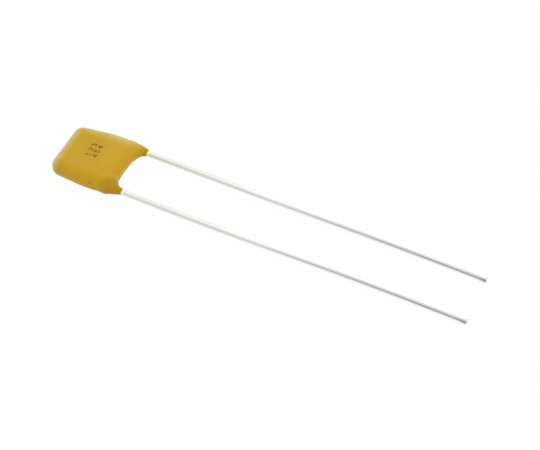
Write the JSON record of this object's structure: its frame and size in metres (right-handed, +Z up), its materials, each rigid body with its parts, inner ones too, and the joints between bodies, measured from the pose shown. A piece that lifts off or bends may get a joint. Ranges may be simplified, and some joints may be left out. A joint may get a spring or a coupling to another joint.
{
  "type": "multilayer ceramic capacitor",
  "caption": "Epoxy-dipped multilayer ceramic capacitor with a flat rounded body and long straight radial wire leads for through-hole mounting.",
  "frame": {"origin": "on the table, under the middle of the bounding box of the part as it lies at rest", "axes": "+X from the body towards the lead tips, +Y from the right lead to the left lead, +Z up, through the body's thickness"},
  "size_m": [0.0388, 0.0062, 0.0019],
  "materials": {
    "coating": "mustard-yellow dipped epoxy, glossy, slightly uneven",
    "dielectric": "fired ceramic, matt",
    "electrode": "fired metal film",
    "termination": "fired silver, satin",
    "solder": "tin solder, satin",
    "lead_wire": "tinned wire, satin, drawn lengthways"
  },
  "bodies": {
    "root": {"epoxy_coating": "coating", "ceramic_body": "dielectric", "left_electrode_1": "electrode", "left_electrode_2": "electrode", "left_electrode_3": "electrode", "left_electrode_4": "electrode", "left_electrode_5": "electrode", "left_electrode_6": "electrode", "right_electrode_1": "electrode", "right_electrode_2": "electrode", "right_electrode_3": "electrode", "right_electrode_4": "electrode", "right_electrode_5": "electrode", "right_electrode_6": "electrode", "left_termination": "termination", "left_solder": "solder", "left_lead": "lead_wire", "right_termination": "termination", "right_solder": "solder", "right_lead": "lead_wire"}
  },
  "joints": []
}
